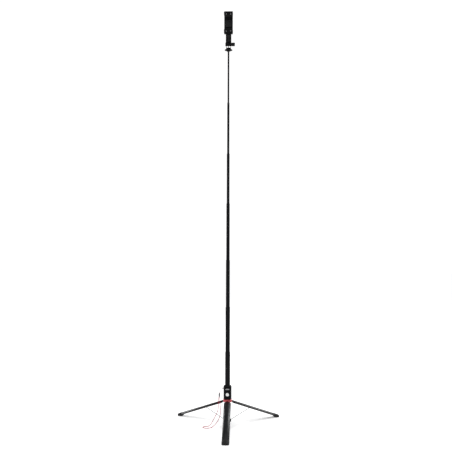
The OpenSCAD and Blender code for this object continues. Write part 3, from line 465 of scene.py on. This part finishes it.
def finish(name, dark, light, rough, scale=900, stretch=(1, 1, 1), blotch=40, depth=0.00003,
           metal=0.0, coat=0.0, scratches=0.0, scratch_run=(900, 900, 25), level=0.12):
    """A hard material: two tones, a range of roughness, grain as bump, hairline scratches.
    A scratch shows as a paler line in the lighter tone."""
    scratch_gain, scratch_lift = 2.2, 0.02
    paler = [min(1, scratch_gain * c + scratch_lift) for c in light]
    material, nodes, join, shader = new_material(name)
    grain = nodes.new("ShaderNodeGroup")
    grain.node_tree = surface_grain
    grain.inputs["Scale"].default_value = scale
    grain.inputs["Stretch"].default_value = stretch
    grain.inputs["Blotch"].default_value = blotch
    marks = nodes.new("ShaderNodeGroup")
    marks.node_tree = hairline_scratches
    marks.inputs["Stretch"].default_value = scratch_run
    marks.inputs["Amount"].default_value = scratches
    tones = nodes.new("ShaderNodeMix")
    tones.data_type = "RGBA"
    tones.inputs[MIX_FIRST].default_value = (*dark, 1)
    tones.inputs[MIX_SECOND].default_value = (*light, 1)
    join(grain.outputs["Mask"], tones.inputs[MIX_SHARE])
    marked = nodes.new("ShaderNodeMix")
    marked.data_type = "RGBA"
    marked.inputs[MIX_SECOND].default_value = (*paler, 1)
    join(marks.outputs["Mask"], marked.inputs[MIX_SHARE])
    join(tones.outputs[MIXED], marked.inputs[MIX_FIRST])
    join(marked.outputs[MIXED], shader.inputs["Base Color"])
    gloss = nodes.new("ShaderNodeMapRange")
    gloss.inputs["To Min"].default_value = rough[0]
    gloss.inputs["To Max"].default_value = rough[1]
    join(grain.outputs["Mask"], gloss.inputs["Value"])
    join(gloss.outputs[0], shader.inputs["Roughness"])
    bump = nodes.new("ShaderNodeBump")
    bump.inputs["Distance"].default_value = depth
    join(grain.outputs["Height"], bump.inputs["Height"])
    join(bump.outputs[0], shader.inputs["Normal"])
    shader.inputs["Metallic"].default_value = metal
    shader.inputs["Coat Weight"].default_value = coat
    shader.inputs["Coat Roughness"].default_value = 0.25
    shader.inputs["Specular IOR Level"].default_value = level
    return material


# The bead is a turned plastic barrel with a groove at each end and its two cord holes filled
bead_low, bead_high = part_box("strap_bead")
bead_r = (bead_high.x - bead_low.x) / 2
bead_plastic = finish("bead_plastic", dark=(0.022, 0.022, 0.025), light=(0.04, 0.038, 0.042),
                      rough=(0.28, 0.4), scale=700)
face_in, corner_in, groove_in, belly_in = 0.0016, 0.0014, 0.0006, 0.0001
bead_corner = 0.0012
bead_steps = 40
rim_up, groove_start, groove_end, belly_start, belly_up = 0.0026, 0.0030, 0.0036, 0.0040, 0.0065


def bead_point(inset, up):
    """An outline point that far inside the bead's radius and above its lower end."""
    return bead_r - inset, bead_low.z + up


bead_outline = [(0, bead_low.z), bead_point(face_in, 0)]
bead_outline += arc(*bead_point(corner_in, bead_corner), bead_corner, -80, -5)
bead_outline += [bead_point(belly_in, rim_up), bead_point(groove_in, groove_start),
                 bead_point(groove_in, groove_end), bead_point(belly_in, belly_start),
                 bead_point(0, belly_up)]
bead_outline += [(radius, bead_low.z + bead_high.z - height)
                 for radius, height in reversed(bead_outline)]
strap_bead = turned("strap_barrel_bead", bead_outline, bead_steps)
bead_middle = (bead_low + bead_high) / 2
bead_shift = Vector((bead_middle.x - pole.x, bead_middle.y - pole.y, 0))
strap_bead.data.transform(Matrix.Translation(bead_shift))
stand_for(crease(strap_bead), "strap_bead", bead_plastic)


# ---- Legs ----
# Three arc-shaped shells moulded in black glass-filled nylon, which close round the pole
# into a handle. Each hangs on a pin in the hub and carries a lug for its strut.
def eased(name, node, material, edge):
    """A copy of a CAD piece with its doubles merged and its hard edges rounded over."""
    weld = 2e-6
    flat, sharp = math.radians(0.5), math.radians(30)
    bm = bmesh.new()
    bm.from_mesh(frame["nodes"][node].data)
    bmesh.ops.remove_doubles(bm, verts=bm.verts, dist=weld)
    bmesh.ops.dissolve_limit(bm, angle_limit=flat, verts=bm.verts, edges=bm.edges)
    hard = [e for e in bm.edges if len(e.link_faces) == 2 and e.calc_face_angle() > sharp]
    bmesh.ops.bevel(bm, geom=hard, offset=edge, offset_type="OFFSET", affect="EDGES",
                    segments=2, profile=0.5, material=-1, clamp_overlap=True)
    crisp = 40
    return stand_for(crease(from_bmesh(name, bm), crisp), node, material)


def dress(node, material):
    """A CAD piece whose shape is right keeps its mesh and gets its finish."""
    mesh = frame["nodes"][node].data
    mesh.materials.clear()
    mesh.materials.append(material)


leg_nylon = finish("leg_nylon", dark=(0.010, 0.010, 0.011), light=(0.020, 0.020, 0.021),
                   rough=(0.30, 0.42), scale=1400, depth=0.00002, scratches=0.25,
                   scratch_run=(700, 700, 700))
for side in ("front", "left", "right"):
    eased("leg_shell_" + side, "leg_" + side, leg_nylon, edge=0.0003)

# ---- Feet ----
# Solid black rubber shoes, moulded in one piece and pressed into the ends of the shells.
# Their soles are cut so that they stand flat when the legs are open.
foot_rubber = finish("foot_rubber", dark=(0.010, 0.010, 0.010), light=(0.022, 0.022, 0.022),
                     rough=(0.62, 0.8), scale=1800, depth=0.00005, level=0.15)
for side in ("front", "left", "right"):
    eased("rubber_foot_" + side, "foot_" + side, foot_rubber, edge=0.0005)

# ---- Struts and spider ----
# A spring-steel wire from each leg to the pole, bent at both ends to hook into its lugs.
# The lower ones sit on a moulded black plug pressed into the pole's lower end.
drawn_steel = finish("drawn_steel", dark=(0.34, 0.34, 0.35), light=(0.56, 0.56, 0.58),
                     rough=(0.22, 0.38), scale=260, stretch=(6, 6, 1), metal=1.0, depth=0.00001,
                     level=0.5)
strut_wire = finish("strut_wire", dark=(0.018, 0.018, 0.019), light=(0.034, 0.034, 0.036),
                    rough=(0.4, 0.52), scale=260, stretch=(6, 6, 1), metal=0.4, depth=0.00001)
for side in ("front", "left", "right"):
    dress("strut_" + side, strut_wire)
moulded_black = finish("moulded_black", dark=(0.006, 0.006, 0.0065), light=(0.013, 0.013, 0.014),
                       rough=(0.34, 0.5), scale=1500, depth=0.000025)
eased("pole_plug_with_lugs", "spider", moulded_black, edge=0.0002)

# ---- Hub ----
# A ring moulded in gloss red plastic round the pole, slotted for the legs' knuckles.
# A steel pin is pressed through the ring for each leg to turn on.
red_gloss = finish("red_gloss", dark=(0.50, 0.018, 0.035), light=(0.62, 0.03, 0.05),
                   rough=(0.24, 0.34), scale=600, blotch=60, depth=0.000015, coat=0.2, level=0.5)
eased("red_hub_ring", "hub_ring", red_gloss, edge=0.0003)
dress("leg_pins", drawn_steel)

# ---- Body ----
# Two moulded black shells, screwed together round the pole over the nylon bushes that it
# slides in, with a collar over their top and a ring at the side for the strap.
satin_shell = finish("satin_shell", dark=(0.005, 0.005, 0.006), light=(0.011, 0.011, 0.012),
                     rough=(0.4, 0.5), scale=1600, level=0.05, depth=0.00002, scratches=0.15,
                     scratch_run=(500, 500, 500))
eased("body_shell_front", "body_front_shell", satin_shell, edge=0.00035)
eased("body_shell_rear", "body_rear_shell", satin_shell, edge=0.00035)
eased("body_collar", "body_top_collar", satin_shell, edge=0.0003)
natural_nylon = finish("natural_nylon", dark=(0.55, 0.54, 0.50), light=(0.66, 0.65, 0.61),
                       rough=(0.4, 0.55), scale=800)
dark_nylon = finish("dark_nylon", dark=(0.03, 0.03, 0.03), light=(0.05, 0.05, 0.05),
                    rough=(0.4, 0.55), scale=800)
dress("guide_bushes", dark_nylon)
dress("strap_eyelet", dark_nylon)
dress("body_screws", drawn_steel)

# ---- Remote ----
# A small shutter remote clipped into the body: two case halves, a badge, the button,
# and inside them a coin cell, its board and the switch.
gloss_case = finish("gloss_case", dark=(0.003, 0.003, 0.0035), light=(0.006, 0.006, 0.007),
                    rough=(0.18, 0.28), scale=900, level=0.05, depth=0.00001, scratches=0.12,
                    scratch_run=(600, 600, 600))
eased("remote_case_front", "remote_front_case", gloss_case, edge=0.0003)
eased("remote_case_back", "remote_back_case", gloss_case, edge=0.0003)
eased("battery_cover", "battery_door", moulded_black, edge=0.0002)
badge_grey = finish("badge_grey", dark=(0.22, 0.22, 0.23), light=(0.38, 0.38, 0.39),
                    rough=(0.3, 0.4), scale=500, stretch=(1, 1, 14), metal=0.6)
dress("remote_badge", badge_grey)
white_button = finish("white_button", dark=(0.80, 0.80, 0.79), light=(0.86, 0.86, 0.85),
                      rough=(0.2, 0.3), scale=500, depth=0.00001, coat=0.3)
eased("shutter_button_cap", "shutter_button", white_button, edge=0.0001)
dress("coin_cell", drawn_steel)
dress("tact_switch", drawn_steel)
board_green = finish("board_green", dark=(0.01, 0.10, 0.035), light=(0.02, 0.16, 0.06),
                     rough=(0.3, 0.5), scale=300, stretch=(1, 1, 5), depth=0.00001)
dress("remote_pcb", board_green)

# ---- Pole ----
# Seven drawn aluminium tubes, black anodised. Each one's top edge is rolled in over the
# friction sleeve and stop ring of the next.
tube_wall = 0.6 * MM
slide_gap = 0.06 * MM
lip_height = 1.2 * MM
edge_r = 0.4 * MM
anodised = finish("black_anodised", dark=(0.007, 0.007, 0.008), light=(0.011, 0.011, 0.012),
                  rough=(0.4, 0.46), scale=420, stretch=(9, 9, 1), level=0.05, depth=0.000004,
                  scratches=0.12, scratch_run=(1100, 1100, 12))


def box_radius(node):
    """Half the width of a round CAD piece."""
    low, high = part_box(node)
    return (high.x - low.x) / 2


sections = 7
tube_steps = 72
for k in range(1, sections + 1):
    low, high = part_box(f"tube_{k}")
    outer = box_radius(f"tube_{k}")
    inner = outer - tube_wall
    lip_in = box_radius(f"tube_{k + 1}") + slide_gap if k < sections else inner
    tube_outline = [(inner, low.z), (outer, low.z)]
    tube_outline += arc(outer - edge_r, high.z - edge_r, edge_r, 0, 90)
    tube_outline += [(lip_in, high.z), (lip_in, high.z - lip_height), (inner, high.z - lip_height)]
    section = turned(f"pole_section_{k}", tube_outline, tube_steps)
    stand_for(crease(section), f"tube_{k}", anodised)
for k in range(2, sections + 1):
    dress(f"sleeve_{k}", natural_nylon)

# ---- Head ----
# A flared cap on the last tube, a swivelling yoke on a rivet, and the tilt barrel
# with its bolt and ribbed lock knob.
eased("flared_cap", "pole_cap", satin_shell, edge=0.00025)
dress("swivel_rivet", drawn_steel)
eased("tilt_yoke", "yoke", moulded_black, edge=0.0002)
dress("tilt_bolt", drawn_steel)
eased("ribbed_lock_knob", "tilt_knob", moulded_black, edge=0.00015)
eased("arm_with_rails", "arm_frame", satin_shell, edge=0.0003)
cover_grey = finish("cover_grey", dark=(0.022, 0.022, 0.023), light=(0.04, 0.04, 0.042),
                    rough=(0.4, 0.52), scale=1200)
eased("waisted_arm_cover", "arm_cover", cover_grey, edge=0.0002)

# ---- Phone clamp ----
# A moulded black housing with a fixed lower jaw, and a sprung upper jaw whose tongues
# slide inside it. It turns on a screw in the arm, and rubber pads line its jaws and back.
clamp_plastic = finish("clamp_plastic", dark=(0.005, 0.005, 0.0055), light=(0.010, 0.010, 0.011),
                       rough=(0.42, 0.54), scale=1500, level=0.05, depth=0.000025)
eased("clamp_housing", "clamp_base", clamp_plastic, edge=0.0003)
eased("clamp_back_plate", "clamp_back", clamp_plastic, edge=0.0003)
eased("sliding_upper_jaw", "clamp_slider", clamp_plastic, edge=0.0003)
dress("clamp_pivot_screw", drawn_steel)
screw_grey = finish("screw_grey", dark=(0.24, 0.24, 0.245), light=(0.32, 0.32, 0.325),
                    rough=(0.4, 0.55), scale=400, metal=0.2, depth=0.00001)
eased("jaw_screws_low", "clamp_screws", screw_grey, edge=0.0001)
eased("jaw_screws_high", "upper_jaw_screws", screw_grey, edge=0.0001)
pad_grey = finish("pad_grey", dark=(0.013, 0.013, 0.014), light=(0.022, 0.022, 0.023),
                  rough=(0.65, 0.8), scale=1300, depth=0.00004, level=0.15)
eased("ribbed_back_pad", "clamp_back_pad", pad_grey, edge=0.00015)
jaw_rubber = finish("jaw_rubber", dark=(0.008, 0.008, 0.008), light=(0.016, 0.016, 0.016),
                    rough=(0.65, 0.8), scale=1500, depth=0.00004, level=0.15)
eased("grooved_pad_low", "lower_jaw_pad", jaw_rubber, edge=0.0002)
eased("grooved_pad_high", "upper_jaw_pad", jaw_rubber, edge=0.0002)

# Two close-wound pull springs stretch between the housing's floor and the jaw's tongues
spring_low, spring_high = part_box("jaw_springs")
wire_r = 0.28 * MM
spring_depth = spring_high.y - spring_low.y
coil_r = spring_depth / 2 - wire_r
coil_turns = 19
coil_steps = 18
wire_sides = 8
springs_bm = bmesh.new()
for spring_x in (spring_low.x + spring_depth / 2, spring_high.x - spring_depth / 2):
    middle = Vector((spring_x, (spring_low.y + spring_high.y) / 2, spring_low.z + wire_r))
    rise = spring_high.z - spring_low.z - 2 * wire_r
    coil_line = []
    for i in range(coil_turns * coil_steps + 1):
        angle = 2 * math.pi * i / coil_steps
        height = rise * i / (coil_turns * coil_steps)
        outward = Vector((math.cos(angle), math.sin(angle), 0))
        coil_line.append(middle + coil_r * outward + Vector((0, 0, height)))
    coil = sweep("coil", coil_line, wire_r, wire_sides)
    springs_bm.from_mesh(coil.data)
    bpy.data.objects.remove(coil)
springs = from_bmesh("wound_jaw_springs", springs_bm)
springs.data.materials.clear()
springs.data.materials.append(drawn_steel)
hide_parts("jaw_springs")
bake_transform(springs)
